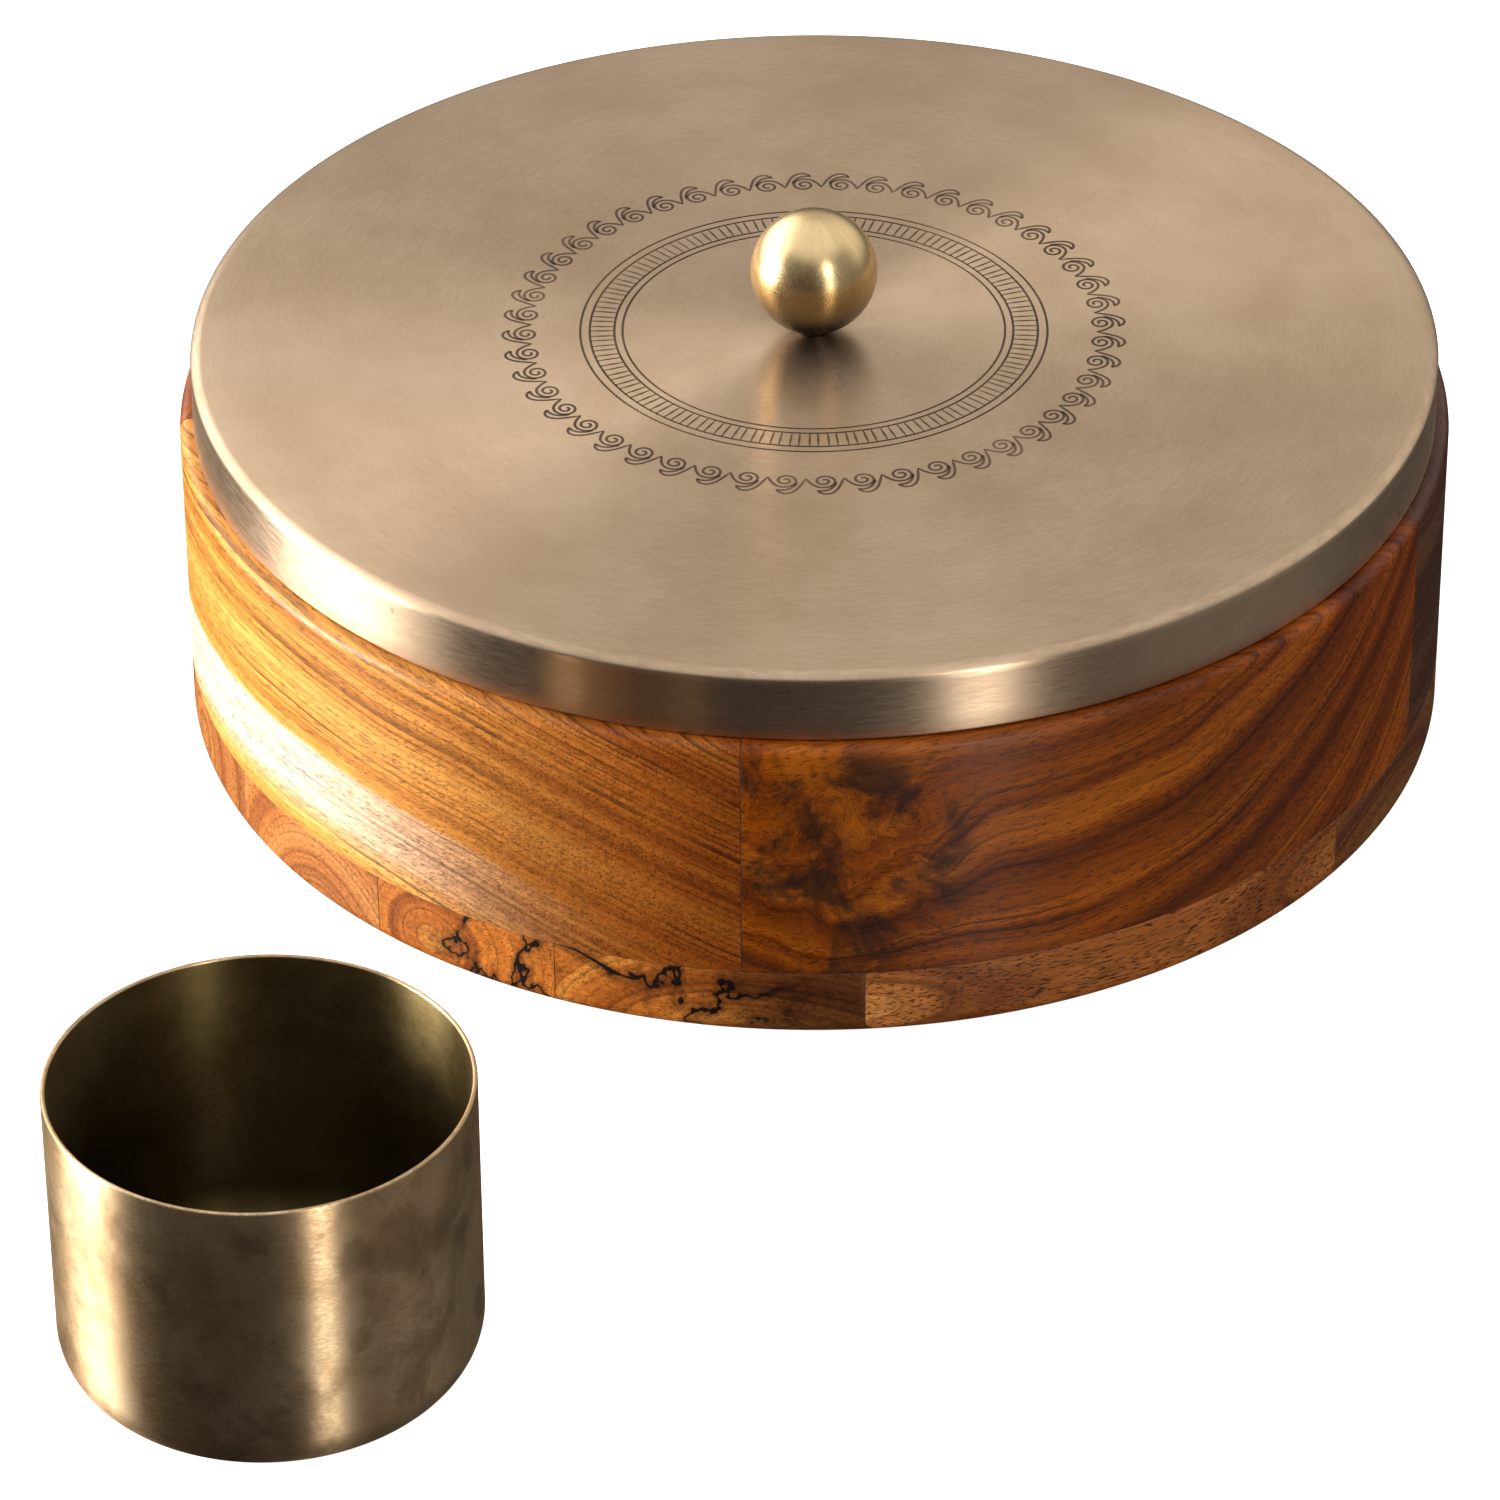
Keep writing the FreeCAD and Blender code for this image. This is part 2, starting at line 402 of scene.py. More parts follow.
def engraving_fill():
    """Dark brown floor of the engraved lines."""
    material, nodes, shader = new_material("engraving")
    wear = nodes.noise(object_place(nodes), 60.0, 4.0, 0.6)
    color = nodes.mix(nodes.smooth(wear, 0.35, 0.75), (0.075, 0.040, 0.020), (0.17, 0.10, 0.055))
    nodes.link(color, shader.inputs["Base Color"])
    nodes.link(nodes.smooth(wear, 0.3, 0.7, 0.45, 0.6), shader.inputs["Roughness"])
    shader.inputs["Metallic"].default_value = 0.5
    return material


def glue_line_material():
    """Dark line where two pieces of wood meet."""
    material, nodes, shader = new_material("glue_line")
    gap = nodes.noise(object_place(nodes), 700.0, 3.0, 0.6)
    color = nodes.mix(nodes.smooth(gap, 0.35, 0.65), (0.018, 0.009, 0.004), (0.10, 0.045, 0.018))
    nodes.link(color, shader.inputs["Base Color"])
    nodes.link(nodes.smooth(gap, 0.3, 0.7, 0.5, 0.8), shader.inputs["Roughness"])
    return material


def wood(name, grain, layers, palette, spacing=2.0 * MM, pith=None, warp=3.0 * MM, sap=None, knot=None,
         shades=(), pores=0.5, lines=0.6, seed=0.0, spalt=None):
    """Lacquered hardwood cut from a board.

    grain   direction that the fibres run in
    layers  normal of the growth layers where they are nearly flat, used when pith is None
    palette dark, middle and light colour
    spacing thickness of a growth layer
    pith    a point on the tree's axis, for growth layers that are rings about the grain direction
    warp    how far the grain wanders
    sap     (from, to, colour, fade from, fade to): a stripe of pale sapwood between two depths of the
            growth layers, which fades out along the grain
    knot    (centre, size, bulge) of a swirl in the grain
    shades  (direction, from, to, tint) of each tint that the wood takes on along a direction
    pores   strength of the pores
    lines   strength of the dark lines between growth layers
    seed    a number that makes this board's figure its own
    spalt   (centre, size) of a patch with black veins
    """
    material, nodes, shader = new_material(name)
    place = object_place(nodes)
    along_grain = Vector(grain).normalized()
    normal = Vector(layers).normalized()
    normal = (normal - along_grain * normal.dot(along_grain)).normalized()
    side = along_grain.cross(normal)

    drift = nodes.centred_noise(nodes.vector("ADD", place, (seed, seed, seed)), 14.0, 2.0, 0.5)
    bent = nodes.vector("ADD", place, nodes.vector("SCALE", drift, scale=warp * 2.0))
    ripple = nodes.centred_noise(place, 75.0, 3.0, 0.5)
    bent = nodes.vector("ADD", bent, nodes.vector("SCALE", ripple, scale=warp * 0.28))
    knot_mask = None
    if knot:
        centre, size, bulge = knot
        knot_mask = nodes.smooth(nodes.vector("DISTANCE", place, tuple(centre)), size * 0.1, size, 1.0, 0.0)
        swirl = nodes.centred_noise(place, 38.0, 3.0, 0.55, distortion=1.2)
        swirl = nodes.vector("SCALE", swirl, scale=nodes.math("MULTIPLY", knot_mask, 30.0 * MM))
        bent = nodes.vector("ADD", bent, swirl)

    a, u, v = (nodes.vector("DOT_PRODUCT", bent, tuple(axis)) for axis in (along_grain, normal, side))

    def drawn_along(length, fineness):
        """Coordinates drawn out along the grain."""
        return nodes.combine(nodes.math("MULTIPLY", a, length), nodes.math("MULTIPLY", u, fineness),
                             nodes.math("MULTIPLY", v, fineness))

    if pith is None:
        depth = u
    else:
        du = nodes.math("SUBTRACT", u, pith.dot(normal))
        dv = nodes.math("SUBTRACT", v, pith.dot(side))
        depth = nodes.hypotenuse(du, dv)
    if knot_mask:
        depth = nodes.math("ADD", depth, nodes.math("MULTIPLY", knot_mask, bulge))
    shifted = nodes.math("ADD", depth, seed + 1.0)

    # broad bands, then a growth ring at every layer: a thin dark line that fades out on one side
    band = nodes.noise_1d(shifted, 0.22 / spacing, 3.0, 0.6)
    color = nodes.ramp(band, (0.3, palette[0]), (0.5, palette[1]), (0.7, palette[2]))
    wander = nodes.math("MULTIPLY", nodes.noise_1d(shifted, 0.35 / spacing, 2.0), 2.4)
    phase = nodes.math("ADD", nodes.math("DIVIDE", shifted, spacing), wander)
    part = nodes.math("FRACT", phase)
    vigour = nodes.add("ShaderNodeTexWhiteNoise", noise_dimensions="1D")
    nodes.link(nodes.math("FLOOR", phase), vigour.inputs["W"])
    vigour = vigour.outputs["Value"]
    ring = nodes.math("MULTIPLY", nodes.smooth(part, 0.0, 0.09),
                      nodes.smooth(part, 0.10, nodes.math("MULTIPLY_ADD", vigour, 0.45, 0.22), 1.0, 0.0))
    ring = nodes.math("MULTIPLY", ring, nodes.math("MULTIPLY_ADD", vigour, 0.85, 0.15))
    strength = nodes.noise(place, 30.0, 3.0, 0.55)
    ring = nodes.math("MULTIPLY", ring, nodes.smooth(strength, 0.32, 0.58, 0.3, 1.0))
    if knot_mask:
        ring = nodes.math("MULTIPLY", ring, nodes.smooth(knot_mask, 0.1, 0.8, 1.0, 0.35))
    color = nodes.mix(nodes.math("MULTIPLY", ring, lines), color, darker(palette[0], 0.30))

    # fibres: fine streaks along the grain
    fibre = nodes.noise(drawn_along(34.0, 1000.0), 1.0, 3.0, 0.65)
    streaks = nodes.ramp(fibre, (0.25, 0.30), (0.5, 0.85), (0.75, 1.3))
    color = nodes.mix(0.6, color, streaks, blend="MULTIPLY")

    if sap:
        # the stripe is real sapwood; its pale cream colour is partly a painted sheen of the lamps
        start, end, sap_and_sheen_color, fade_from, fade_to = sap
        edge = nodes.math("ADD", depth, nodes.math("MULTIPLY", nodes.math("SUBTRACT", band, 0.5), 4.0 * MM))
        inside = nodes.math("MULTIPLY", nodes.smooth(edge, start, start + 5.0 * MM),
                            nodes.smooth(edge, end - 1.5 * MM, end, 1.0, 0.0))
        inside = nodes.math("MULTIPLY", inside, nodes.smooth(a, fade_from, fade_to, 1.0, 0.0))
        streak = nodes.math("MULTIPLY", ring, nodes.smooth(fibre, 0.35, 0.6))
        pale = nodes.mix(0.75, sap_and_sheen_color, nodes.ramp(streak, (0.0, 1.0), (0.35, 0.42)), blend="MULTIPLY")
        pale = nodes.mix(0.8, pale, nodes.ramp(fibre, (0.3, 0.45), (0.6, 1.15)), blend="MULTIPLY")
        color = nodes.mix(inside, color, pale)

    # pores: short dark dashes along the grain, denser in some layers
    pore = nodes.noise(drawn_along(420.0, 2600.0), 1.0, 1.0, 0.4)
    pore_layer = nodes.smooth(nodes.noise_1d(shifted, 0.5 / spacing, 1.0), 0.35, 0.65, 0.05, 0.0)
    pore = nodes.smooth(nodes.math("ADD", pore, pore_layer), 0.58, 0.68)
    color = nodes.mix(nodes.math("MULTIPLY", pore, pores), color, darker(palette[0], 0.22))

    if knot_mask:
        stain = nodes.noise(place, 52.0, 6.0, 0.65, distortion=0.5)
        stain = nodes.math("MULTIPLY", nodes.smooth(stain, 0.44, 0.60), nodes.smooth(knot_mask, 0.0, 0.35))
        color = nodes.mix(nodes.math("MULTIPLY", stain, 0.85), color, (0.022, 0.010, 0.006))
    if spalt:
        centre, size = spalt
        patch = nodes.smooth(nodes.vector("DISTANCE", place, tuple(centre)), size * 0.6, size, 1.0, 0.0)
        vein = nodes.noise(nodes.vector("ADD", place, (3.0, 0.0, 0.0)), 36.0, 4.0, 0.6, distortion=0.8)
        ridge = nodes.math("ABSOLUTE", nodes.math("SUBTRACT", vein, 0.5))
        ink = nodes.math("MAXIMUM", nodes.smooth(ridge, 0.008, 0.024, 1.0, 0.0),
                         nodes.smooth(ridge, 0.01, 0.09, 0.55, 0.0))
        color = nodes.mix(nodes.math("MULTIPLY", ink, patch), color, (0.012, 0.006, 0.004))
    for direction, start, end, tint in shades:
        along = nodes.vector("DOT_PRODUCT", bent, tuple(direction))
        tinted = nodes.mix(1.0, color, tint, blend="MULTIPLY")
        color = nodes.mix(nodes.smooth(along, start, end), color, tinted)

    wide = nodes.noise(nodes.vector("ADD", place, (0.0, seed, 0.0)), 11.0, 3.0, 0.55)
    color = nodes.mix(1.0, color, nodes.ramp(wide, (0.3, 0.75), (0.7, 1.2)), blend="MULTIPLY")
    nodes.link(color, shader.inputs["Base Color"])
    nodes.link(nodes.smooth(fibre, 0.3, 0.7, 0.34, 0.46), shader.inputs["Roughness"])
    shader.inputs["Coat Weight"].default_value = 0.22
    shader.inputs["Coat Roughness"].default_value = 0.30
    shader.inputs["Specular IOR Level"].default_value = 0.15
    relief = nodes.math("SUBTRACT", nodes.math("MULTIPLY", fibre, 0.35), pore)
    nodes.link(nodes.bump(relief, 0.35, 0.00012), shader.inputs["Normal"])
    return material


def steel(name):
    """Plain zinc-plated steel for the fixings under the lid."""
    material, nodes, shader = new_material(name)
    spangle = nodes.noise(object_place(nodes), 900.0, 3.0, 0.6)
    nodes.link(nodes.mix(spangle, (0.42, 0.41, 0.39), (0.62, 0.61, 0.58)), shader.inputs["Base Color"])
    nodes.link(nodes.smooth(spangle, 0.3, 0.7, 0.28, 0.42), shader.inputs["Roughness"])
    shader.inputs["Metallic"].default_value = 1.0
    return material


# ================= lid =================
def lid_side(radius, top):
    """Crown and rolled edge of one face of the lid's sheet, from the flat middle out."""
    crown_edge = (radius - lid_edge_width, top - lid_crown)
    corner = (radius, crown_edge[1] - lid_edge_drop)
    crown_middle = ((lid_flat_radius + crown_edge[0]) / 2.0, top - lid_crown / 4.0)
    lean = math.atan2(lid_edge_drop, lid_edge_width)
    swell = ((crown_edge[0] + corner[0]) / 2.0 + lid_edge_swell * math.sin(lean),
             (crown_edge[1] + corner[1]) / 2.0 + lid_edge_swell * math.cos(lean))
    crown = arc_through((lid_flat_radius, top), crown_middle, crown_edge, 10)
    return crown, arc_through(crown_edge, swell, corner, 12)


def lid_outline():
    """Closed outline of the lid, with the engraved circles as grooves in its top.

    The second list holds a material's number for each point: 0 metal, 1 engraving.
    """
    foot_round = lid_sheet / 2.0
    foot_centre = (lid_radius - foot_round, lid_foot + foot_round)
    points = arc(foot_centre, foot_round, -180, 0, 6)
    crown, edge = lid_side(lid_radius, lid_top)
    corner_height = edge[-1][1]
    for share in (0.3, 0.6, 0.9):
        points.append((lid_radius, lid_foot + foot_round + (corner_height - lid_foot - foot_round) * share))
    points.append((lid_radius, corner_height - lid_corner_ease))
    points += edge[-2::-1] + crown[-2::-1]
    kinds = [0] * len(points)
    half = circle_line / 2.0
    for radius in reversed(circle_radii):
        points += [(radius + half, lid_top), (radius + half - groove_slope, lid_top - engraved_depth),
                   (radius - half + groove_slope, lid_top - engraved_depth), (radius - half, lid_top)]
        kinds += [1, 1, 1, 0]
    points += [(inner_ring_radius, lid_top), (knob_hole_radius, lid_top),
               (knob_hole_radius, lid_top - lid_sheet)]
    kinds += [0, 0, 0]
    crown, edge = lid_side(lid_radius - lid_sheet, lid_top - lid_sheet)
    points += crown + edge[1:]
    kinds += [0] * (len(points) - len(kinds))
    return points, kinds


def make_lid(metal, engraving):
    points, kinds = lid_outline()
    bm = lathe(points, steps=512, material_of=lambda k: kinds[k])
    add_piece("lid_body", bm, [metal, engraving], "lid", ["lid_shell"])


def ribbon(bm, line, width, low, high):
    """Thin raised stroke along a line of plan points, tapered at both ends, as a closed solid."""
    count = len(line)
    rows = []
    for i, point in enumerate(line):
        ahead = line[min(i + 1, count - 1)] - line[max(i - 1, 0)]
        across = Vector((-ahead.y, ahead.x, 0.0)).normalized()
        taper = min(1.0, 0.35 + 0.65 * min(i, count - 1 - i) / 3.0)
        half = across * (width / 2.0 * taper)
        left, right = point - half, point + half
        rows.append([bm.verts.new((place.x, place.y, height))
                     for place, height in ((left, low), (right, low), (right, high), (left, high))])
    for first, second in zip(rows, rows[1:]):
        for k in range(4):
            bm.faces.new((first[k], first[(k + 1) % 4], second[(k + 1) % 4], second[k]))
    bm.faces.new(rows[0][::-1])
    bm.faces.new(rows[-1])


def smooth_line(points, steps):
    """Catmull-Rom curve through (u, v) points."""
    padded = [points[0]] + list(points) + [points[-1]]
    line = []
    for k in range(len(points) - 1):
        p0, p1, p2, p3 = (Vector(padded[k + i]) for i in range(4))
        for i in range(steps):
            t = i / steps
            line.append(0.5 * (2.0 * p1 + (p2 - p0) * t + (2.0 * p0 - 5.0 * p1 + 4.0 * p2 - p3) * t * t
                               + (3.0 * p1 - p0 - 3.0 * p2 + p3) * t ** 3))
    line.append(Vector(points[-1]))
    return line


def scroll_strokes():
    """The strokes of one wave scroll, in millimetres round and outwards from its first cusp."""
    eye = Vector((3.35, 0.95))
    start_angle, sweep, outer, inner = 138.0, 640.0, 2.35, 0.35
    spiral = []
    for i in range(61):
        share = i / 60.0
        angle = math.radians(start_angle - sweep * share)
        radius = outer + (inner - outer) * share
        spiral.append(eye + radius * Vector((math.cos(angle), math.sin(angle))))
    rise = smooth_line([(0.0, 0.0), (0.75, 1.45), tuple(spiral[0])], 6)[:-1]
    pitch = 2.0 * math.pi * scroll_cusp_radius / MM / scroll_count
    cap = smooth_line([(2.0, 4.15), (2.7, 5.05), (3.7, 5.4), (4.8, 4.85), (5.8, 3.3), (pitch, 0.0)], 6)
    inner_cap = smooth_line([(2.0, 4.15), (3.1, 4.3), (4.25, 3.75), (5.1, 2.6), (5.55, 1.5)], 6)
    return [rise + spiral, cap, inner_cap]


def make_engraving(material):
    """Scrolls and the bars of the band, as dark filled strokes just proud of the lid."""
    scrolls = bmesh.new()
    strokes = scroll_strokes()
    for number in range(scroll_count):
        first = scroll_first_bearing + number * 360.0 / scroll_count
        for stroke in strokes:
            line = []
            for point in stroke:
                bearing = first + math.degrees(point.x * MM / scroll_cusp_radius)
                line.append(plan_point(scroll_cusp_radius + point.y * MM, bearing))
            ribbon(scrolls, line, scroll_line, stroke_low, stroke_high)
    add_piece("lid_scrolls", scrolls, [material], "lid")

    bars = bmesh.new()
    pitch = 360.0 / band_cells
    inner, outer = circle_radii[1], circle_radii[2]
    for number in range(band_cells):
        for offset in (-bar_offset, bar_offset):
            bearing = (number + offset) * pitch
            line = [plan_point(inner + (outer - inner) * i / 4.0, bearing) for i in range(5)]
            ribbon(bars, line, bar_line, stroke_low, stroke_high)
    add_piece("lid_band_bars", bars, [material], "lid")


def make_knob(metal):
    """The ball, cut flat where it sits on its collar, with the tapped hole up its middle."""
    centre_height = ball_high.z - ball_radius
    seat_height = lid_top + knob_collar_height
    seat_angle = math.degrees(math.asin((seat_height - centre_height) / ball_radius))
    points = arc((0.0, centre_height), ball_radius, seat_angle, 90, 64)
    points[-1] = (0.0, ball_high.z)
    hole_end = seat_height + tapped_hole_depth
    points += [(0.0, hole_end), (tapped_hole_radius, hole_end), (tapped_hole_radius, seat_height)]
    add_piece("knob", lathe(points, steps=128), [metal], "lid", ["knob_ball"])


# ================= cups =================
def cup_outline():
    """Closed outline of a cup: up its outside from the dished bottom, over the rim and down its inside."""
    corner = (cup_radius - cup_corner_round, cup_corner_round)
    half = cup_sheet / 2.0
    rim = (cup_radius - half, cup_height - half)
    bore = cup_radius - cup_sheet
    dish_edge = cup_foot_radius - cup_dish_slope
    slope_middle = dish_edge + cup_dish_slope / 2.0
    points = [(0.0, cup_dish_rise), (dish_edge, cup_dish_rise)]
    points += [(slope_middle, cup_dish_rise / 2.0), (cup_foot_radius, 0.0)]
    points += arc(corner, cup_corner_round, -90, 0, 16)
    points += [(cup_radius, cup_height * 0.4), (cup_radius, cup_height * 0.7)]
    points += arc(rim, half, 0, 180, 8)
    points += [(bore, cup_height * 0.7), (bore, cup_height * 0.4)]
    points += arc(corner, cup_corner_round - cup_sheet, 0, -90, 16)
    points += [(cup_foot_radius + half, cup_sheet), (slope_middle + half, cup_sheet + cup_dish_rise / 2.0)]
    points += [(dish_edge + half, cup_dish_rise + cup_sheet), (0.0, cup_dish_rise + cup_sheet)]
    return points


def make_cup(node):
    """One cup; it takes the second material, a darker copy of its brass painted as shade, from just inside
    the rim down.
    """
    low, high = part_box(node)
    centre = ((low.x + high.x) / 2.0, (low.y + high.y) / 2.0, low.z)
    outside = brass("brass_" + node, (0.90, 0.64, 0.37), (0.56, 0.345, 0.165), 0.35, 0.85, centre,
                    brushing=0.4, pits=0.3, blotches=0.55)
    # painted shade: the inside is a far darker copy of the outside's brass, darker again from 48 mm down to
    # 16 mm above the cup's bottom
    inside = brass("inside_" + node, (0.30, 0.215, 0.090), (0.15, 0.100, 0.034), 0.38, 0.88, centre,
                   brushing=0.2, painted_shade=(48.0 * MM, 16.0 * MM, 0.5))
    outline = cup_outline()
    rim = max(range(len(outline)), key=lambda k: outline[k][1])
    bm = lathe(outline, centre, material_of=lambda k: 1 if k > rim + 2 else 0)
    add_piece(node + "_body", bm, [outside, inside], node, [node])


# ================= wooden base =================
# dark, middle and light colour of each wood
red_brown = ((0.150, 0.027, 0.0008), (0.33, 0.068, 0.0013), (0.54, 0.138, 0.006))
golden = ((0.46, 0.150, 0.021), (0.74, 0.305, 0.052), (0.92, 0.46, 0.105))
dark_brown = ((0.075, 0.024, 0.010), (0.12, 0.042, 0.018), (0.17, 0.068, 0.030))
tan = ((0.44, 0.125, 0.024), (0.68, 0.235, 0.052), (0.86, 0.37, 0.098))
rust = ((0.36, 0.105, 0.024), (0.54, 0.18, 0.042), (0.68, 0.26, 0.07))
orange = ((0.38, 0.095, 0.013), (0.60, 0.175, 0.025), (0.76, 0.28, 0.045))
brown = ((0.20, 0.052, 0.007), (0.34, 0.098, 0.013), (0.46, 0.155, 0.022))


def wall_outline(inset=0.0):
    """Outline of the wall; the inset draws its outside in, for the eased edge at a glue joint."""
    out = base_radius - inset
    ledge = (out - ledge_edge_round, ledge_height - inset - ledge_edge_round)
    lip = (lip_radius - inset - lip_edge_round, lip_top - inset - lip_edge_round)
    bore = (cavity_radius + inset + lip_edge_round, lip_top - inset - lip_edge_round)
    points = [(cavity_radius + inset, glue_line)]
    points += [(out - seam_ease, glue_line), (out, glue_line + seam_ease)]
    for share in (0.25, 0.5, 0.75):
        points.append((out, glue_line + (ledge_height - glue_line) * share))
    points += arc(ledge, ledge_edge_round, 0, 90, 6)
    points += [(lip_radius - inset, ledge_height - inset)]
    points += arc(lip, lip_edge_round, 0, 90, 5)
    points += arc(bore, lip_edge_round, 90, 180, 5)
    return points


def make_wall_segment(number, start, end, material, joint):
    """Sweeps the wall's outline from one glue joint to the next, with fine eased edges at both."""
    ease_angle = math.degrees(wall_joint_ease / base_radius)
    steps = round((end - start) / wall_step)
    bearings = [start, start + ease_angle]
    bearings += [start + (end - start) * i / steps for i in range(1, steps)]
    bearings += [end - ease_angle, end]
    bm = bmesh.new()
    rings = []
    for i, bearing in enumerate(bearings):
        outline = wall_outline(wall_joint_ease if i in (0, len(bearings) - 1) else 0.0)
        rings.append([bm.verts.new(plan_point(r, bearing, z)) for r, z in outline])
    size = len(rings[0])
    for i, (first, second) in enumerate(zip(rings, rings[1:])):
        for k in range(size):
            face = bm.faces.new((first[k], first[(k + 1) % size], second[(k + 1) % size], second[k]))
            face.material_index = 1 if i in (0, len(rings) - 2) or k == 1 else 0
    bm.faces.new(rings[0])
    bm.faces.new(rings[-1][::-1])
    name = "wall_segment_%d" % number
    add_piece(name + "_wood", bm, [material, joint], "base", [name])


def make_floor_strip(number, low, high, material, joint):
    """One strip of the round floor panel, cut out between two planes."""
    edge = (base_radius - underside_edge_round, underside_edge_round)
    middle = base_radius * 0.6
    outline = [(0.0, 0.0), (middle, 0.0)] + arc(edge, underside_edge_round, -90, 0, 10)
    outline += [(base_radius, glue_line - seam_ease), (base_radius - seam_ease, glue_line)]
    outline += [(middle, glue_line), (0.0, glue_line)]
    bm = lathe(outline, steps=480)
    bmesh.ops.recalc_face_normals(bm, faces=bm.faces)
    across = plan_point(1.0, strip_normal)
    for offset, sign in ((low, -1.0), (high, 1.0)):
        if abs(offset) >= base_radius:
            continue
        geometry = bm.verts[:] + bm.edges[:] + bm.faces[:]
        bmesh.ops.bisect_plane(bm, geom=geometry, plane_co=across * offset, plane_no=across * sign,
                               clear_outer=True, dist=1e-7)
        rim = [e for e in bm.edges if e.is_boundary]
        made = bmesh.ops.contextual_create(bm, geom=rim)["faces"]
        for face in made:
            face.material_index = 1
        bmesh.ops.bevel(bm, geom=[e for f in made for e in f.edges], offset=strip_joint_ease, segments=1,
                        affect="EDGES", material=1)
    name = "floor_strip_%d" % number
    add_piece(name + "_wood", bm, [material, joint], "base", [name])


def make_wall(joint):
    """Five segments: a golden one with a pale stripe at the front left, one with a stained knot at the
    front right, and three plainer ones behind.
    """
    left_tilt = math.radians(29.4)
    left_facing = plan_point(1.0, -57.0)
    left_layers = Vector((0.0, 0.0, math.cos(left_tilt))) - left_facing * math.sin(left_tilt)
    left_run = Vector((0.0, 0.0, 1.0)).cross(left_facing)
    right_tilt = math.radians(45.0)
    right_facing = plan_point(1.0, 22.0)
    right_layers = right_facing * math.sin(right_tilt) + Vector((0.0, 0.0, math.cos(right_tilt)))
    right_run = plan_point(1.0, 112.0) + Vector((0.0, 0.0, 0.1))
    right_knot = (plan_point(base_radius, 1.0, 38.0 * MM), 34.0 * MM, 13.0 * MM)
    woods = [
        wood("wood_wall_1", left_run, left_layers, golden, 1.4 * MM, warp=2.5 * MM, seed=0.3, lines=1.0,
             # the pale stripe is real sapwood; its cream colour is partly a painted sheen of the left lamp
             sap=(-43.0 * MM, -27.5 * MM, (0.98, 0.71, 0.50), 0.0, 85.0 * MM),
             shades=[(left_run, 10.0 * MM, 95.0 * MM, (0.44, 0.25, 0.12))]),
        wood("wood_wall_2", right_run, right_layers, red_brown, 2.6 * MM, warp=4.0 * MM, seed=1.7,
             lines=0.85, knot=right_knot,
             shades=[(plan_point(1.0, 90.0), 55.0 * MM, 112.0 * MM, (0.70, 0.60, 0.55))]),
        wood("wood_wall_3", plan_point(1.0, 190.0), (0.2, 0.2, 1.0), dark_brown, 2.4 * MM,
             warp=4.0 * MM, seed=2.9),
        wood("wood_wall_4", plan_point(1.0, 260.0), (0.1, 0.3, 1.0), brown, 2.2 * MM,
             warp=5.0 * MM, seed=4.1),
        wood("wood_wall_5", plan_point(1.0, 330.0), (0.3, -0.1, 1.0), red_brown, 2.2 * MM,
             warp=5.0 * MM, seed=5.3),
    ]
    ends = wall_joints[1:] + [wall_joints[0] + 360.0]
    for number, (start, end, material) in enumerate(zip(wall_joints, ends, woods), 1):
        make_wall_segment(number, start, end, material, joint)


def make_floor_panel(joint):
    """Seven strips. Black veins run through the front of the fifth and the sixth."""
    run = plan_point(1.0, strip_normal + 90.0)
    rightwards = plan_point(1.0, 90.0)
    palettes = [golden, brown, rust, rust, orange, orange, tan]
    veined = (plan_point(base_radius, -20.0, 7.0 * MM), 48.0 * MM)
    shades = {6: [(run, -82.0 * MM, -62.0 * MM, (0.32, 0.32, 0.45)),
                  (run, 20.0 * MM, 50.0 * MM, (1.25, 1.4, 1.6))],
              7: [(rightwards, 17.0 * MM, 25.0 * MM, (0.68, 0.58, 0.50))]}
    edges = [-base_radius] + strip_joints + [base_radius]
    for number, (low, high, palette) in enumerate(zip(edges, edges[1:], palettes), 1):
        off_centre = 6.0 * MM * (-1) ** number
        pith = plan_point((low + high) / 2.0 + off_centre, strip_normal, -off_centre)
        material = wood("wood_strip_%d" % number, run, (0.0, 0.0, 1.0), palette, 1.6 * MM, pith=pith,
                        warp=2.2 * MM, seed=7.0 + number, pores=0.9 if palette is tan else 0.5,
                        spalt=veined if number in (5, 6) else None, shades=shades.get(number, ()))
        make_floor_strip(number, low, high, material, joint)


# ================= studio =================
softbox_distance = 4.4
floor_half = 6.0


def softbox(name, bearing, low, high, width, power):
    """Upright rectangular light that faces the box from a bearing, between two heights."""
    data = bpy.data.lights.new(name, "AREA")
    data.shape = "RECTANGLE"
    data.size = width
    data.size_y = high - low
    data.energy = power
    light = bpy.data.objects.new(name, data)
    light.location = plan_point(softbox_distance, bearing, (low + high) / 2.0)
    light.rotation_mode = "QUATERNION"
    light.rotation_quaternion = plan_point(-1.0, bearing).to_track_quat("-Z", "Y")
    bpy.context.scene.collection.objects.link(light)


def make_floor():
    """Plain pale floor. The lights below its level reach through it and give the walls their sheen."""
    bm = bmesh.new()
    signs = ((-1.0, -1.0), (1.0, -1.0), (1.0, 1.0), (-1.0, 1.0))
    bm.faces.new([bm.verts.new((floor_half * x, floor_half * y, 0.0)) for x, y in signs])
    mesh = bpy.data.meshes.new("studio_floor")
    bm.to_mesh(mesh)
    bm.free()
    floor = bpy.data.objects.new("studio_floor", mesh)
    bpy.context.scene.collection.objects.link(floor)
    material, _, shader = new_material("studio_floor")
    shader.inputs["Base Color"].default_value = (0.92, 0.92, 0.92, 1.0)
    shader.inputs["Roughness"].default_value = 0.9
    shader.inputs["Specular IOR Level"].default_value = 0.0
    shader.inputs["Emission Color"].default_value = (1.0, 1.0, 1.0, 1.0)
    shader.inputs["Emission Strength"].default_value = 0.88
    mesh.materials.append(material)
    floor.visible_glossy = False
    floor.visible_diffuse = False
    floor.visible_shadow = False


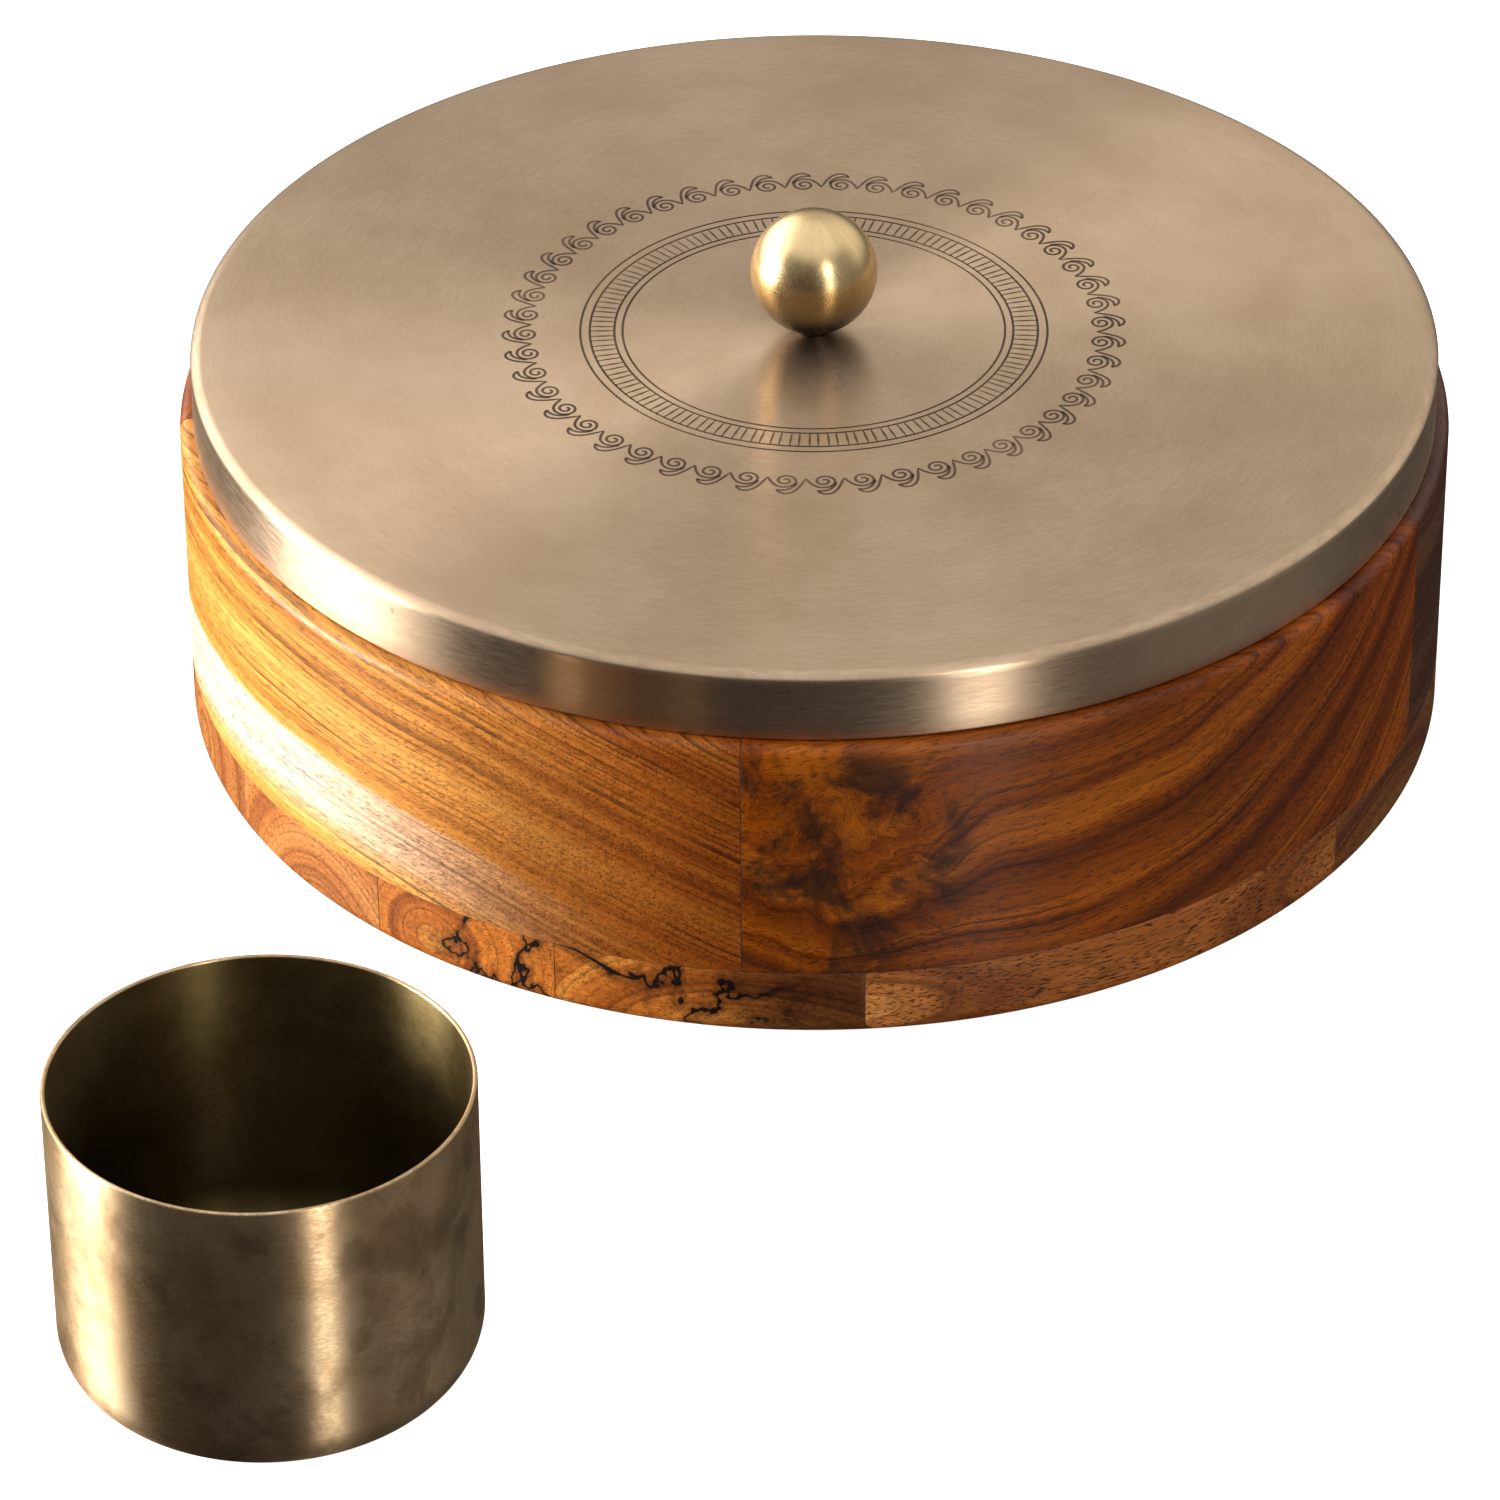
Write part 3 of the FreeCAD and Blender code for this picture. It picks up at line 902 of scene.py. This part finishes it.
def make_world():
    """Dim room: a pale wall behind the box, a bright one on the left and a bright neutral ceiling."""
    world = bpy.data.worlds.new("studio")
    bpy.context.scene.world = world
    world.use_nodes = True
    nodes = Nodes(world.node_tree)
    direction = nodes.add("ShaderNodeTexCoord").outputs["Generated"]
    x, y, z = nodes.separate(direction)

    backwards = nodes.math("ADD", y, nodes.math("MULTIPLY", z, 0.35))
    behind = nodes.math("MULTIPLY", nodes.smooth(backwards, -0.2, 0.8), nodes.smooth(z, -0.1, 0.45))
    wall = nodes.math("MULTIPLY_ADD", behind, 0.46, nodes.smooth(z, -0.4, 0.6, 0.03, 0.12))

    front_right = nodes.math("MULTIPLY", nodes.smooth(x, 0.5, 0.9, 0.0, 0.18),
                             nodes.smooth(y, -0.1, 0.4, 1.0, 0.3))
    wall = nodes.math("ADD", wall, front_right)

    left = nodes.math("MULTIPLY", nodes.smooth(x, -0.1, -0.6), nodes.smooth(y, -0.35, 0.15))
    right = nodes.math("MULTIPLY", nodes.smooth(x, 0.1, 0.6, 0.0, 0.12), nodes.smooth(y, -0.2, 0.3))
    height = nodes.math("MULTIPLY", nodes.smooth(z, -0.2, 0.3), nodes.smooth(z, 0.8, 0.97, 2.9, 0.0))
    wall = nodes.math("MULTIPLY_ADD", nodes.math("ADD", left, right), height, wall)

    wall_color = nodes.combine(wall, nodes.math("MULTIPLY", wall, 0.99), nodes.math("MULTIPLY", wall, 0.96))
    color = nodes.mix(nodes.smooth(z, 0.55, 0.92), wall_color, (0.95, 0.97, 1.0))
    background = nodes.add("ShaderNodeBackground")
    nodes.link(color, background.inputs[0])
    background.inputs[1].default_value = 1.0
    output = nodes.add("ShaderNodeOutputWorld")
    nodes.link(background.outputs[0], output.inputs["Surface"])


def make_camera():
    """Long lens from above the front, aimed between the lid and the loose cup."""
    data = bpy.data.cameras.new("camera")
    data.lens = 180.0
    data.sensor_width = 36.0
    data.clip_start = 0.05
    data.clip_end = 30.0
    camera = bpy.data.objects.new("camera", data)
    look_down, turn_left, roll = 34.15, 0.5945, -0.4123
    turn = Matrix.Rotation(math.radians(turn_left), 4, "Z")
    tilt = Matrix.Rotation(math.radians(90.0 - look_down), 4, "X")
    lean = Matrix.Rotation(math.radians(roll), 4, "Z")
    camera.matrix_world = Matrix.Translation((0.0, -1.2196, 0.8086)) @ turn @ tilt @ lean
    bpy.context.scene.collection.objects.link(camera)
    bpy.context.scene.camera = camera


def make_studio():
    """Floor, room, and softboxes given by bearing, low edge, high edge, width and power."""
    make_floor()
    make_world()
    softbox("window_left", -88.0, -0.9, 1.5, 2.0, 380.0)
    softbox("window_left_low", -83.0, -3.4, -0.9, 1.8, 15.0)
    softbox("strip_right", 29.0, -2.8, 1.6, 0.66, 46.0)
    softbox("strip_right_high", 29.0, 1.7, 3.8, 0.60, 44.0)
    view = bpy.context.scene.view_settings
    view.view_transform = "Standard"
    view.look = "None"
    view.exposure = 0.0


# ================= all of it =================
make_camera()
make_studio()

lid_metal = brass("brass_lid", (0.68, 0.490, 0.325), (0.58, 0.402, 0.255), 0.34, 0.85, brushing=0.22,
                  pits=0.6, pits_below=lid_top - 3.0 * MM)
# painted shade: the ball darkens to a tenth of its colour from 5 mm below its top down to 5 mm above the
# lid, a painted shadow and dark reflection of the lid under it
knob_metal = brass("brass_knob", (0.92, 0.68, 0.36), (0.76, 0.53, 0.25), 0.27, 0.1, brushing=0.1,
                   painted_shade=(ball_high.z - 5.0 * MM, lid_top + 5.0 * MM, 0.10))
# painted shadow: the collar is near-black brass, standing in for the shadow between the ball and the lid
shadowed_collar_metal = brass("brass_collar_painted_shadow", (0.040, 0.026, 0.014), (0.022, 0.014, 0.008), 0.5, 0.0)
fixing_metal = steel("zinc_plate")
engraving = engraving_fill()
make_lid(lid_metal, engraving)
make_engraving(engraving)
make_knob(knob_metal)
small_parts = {"knob_collar": shadowed_collar_metal, "knob_washer": fixing_metal, "knob_screw": fixing_metal}
for node, metal in small_parts.items():
    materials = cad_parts[node].data.materials
    materials.clear()
    materials.append(metal)

for node in sorted(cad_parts):
    if node.startswith("cup_"):
        make_cup(node)

glue = glue_line_material()
make_wall(glue)
make_floor_panel(glue)
